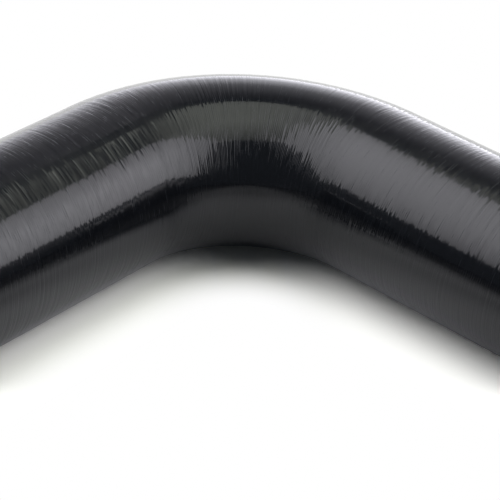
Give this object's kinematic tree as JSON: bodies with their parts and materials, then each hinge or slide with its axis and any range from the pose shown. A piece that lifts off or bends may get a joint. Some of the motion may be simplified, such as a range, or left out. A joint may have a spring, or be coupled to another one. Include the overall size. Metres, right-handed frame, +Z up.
{
  "type": "silicone elbow hose",
  "caption": "Moulded silicone elbow hose: a smooth round tube with a quarter bend between two straight legs, joining pipe ends that meet at a right angle.",
  "frame": {"origin": "bottom centre of the hose's box, on the ground that the hose lies on", "axes": "+Z up, across the flat of the bend; one leg's open end faces -X and the other leg's open end faces -Y; the outside of the bend faces +X +Y"},
  "size_m": [0.182, 0.182, 0.06],
  "materials": {
    "silicone": "glossy moulded black silicone rubber"
  },
  "bodies": {
    "root": {"elbow_hose": "silicone"}
  },
  "joints": []
}
